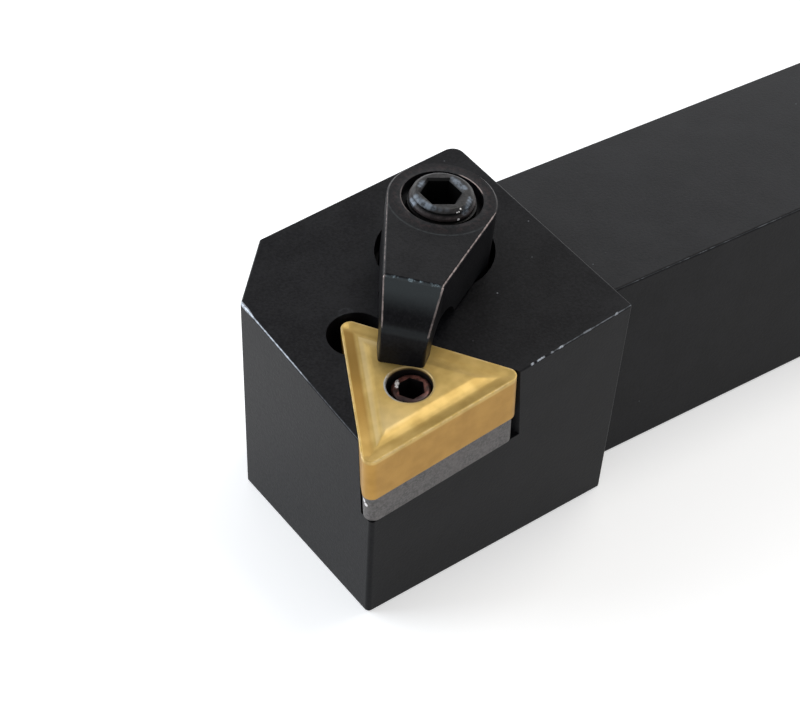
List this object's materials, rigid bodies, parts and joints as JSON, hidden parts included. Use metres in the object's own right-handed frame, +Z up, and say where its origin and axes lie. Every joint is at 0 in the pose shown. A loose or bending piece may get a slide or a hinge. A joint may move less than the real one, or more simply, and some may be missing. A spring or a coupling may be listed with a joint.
{
  "type": "turning tool holder",
  "caption": "Square-shank lathe turning tool holder with a block head, a clamped triangular insert on a seat, a cam lock pin and a teardrop finger clamp.",
  "frame": {"origin": "on the seat, on the shank's middle line, in the plane of the head's back face", "axes": "+X along the shank, away from the head; +Z up; the cutting edge faces -Y"},
  "size_m": [0.1137, 0.026, 0.0289],
  "materials": {
    "black_steel": "black oxide",
    "grey_carbide": "ground",
    "gold_coating": "vapour-deposited gold coating",
    "pin_steel": "browned",
    "screw_steel": "black oxide, worn bright"
  },
  "bodies": {
    "holder": {"holder_body": "black_steel", "shim_seat": "grey_carbide", "insert": "gold_coating"},
    "pin": {"lock_pin": "pin_steel"},
    "clamp": {"clamp": "black_steel"},
    "screw": {"clamp_screw": "screw_steel"}
  },
  "joints": [
    {"name": "clamp_lift", "type": "slide", "parent": "holder", "child": "clamp", "axis": [0, -0.1219, 0.9925], "range_m": [0, 0.0036]},
    {"name": "screw_turn", "type": "hinge", "parent": "clamp", "child": "screw", "pos_m": [-0.00955, 0.0006, 0.02205], "axis": [0, -0.1219, 0.9925], "range_deg": [0, 720]},
    {"name": "cam_turn", "type": "hinge", "parent": "holder", "child": "pin", "pos_m": [-0.02034, -0.01065, 0.01973], "axis": [-0.104, -0.104, 0.9891], "range_deg": [0, 180]}
  ]
}
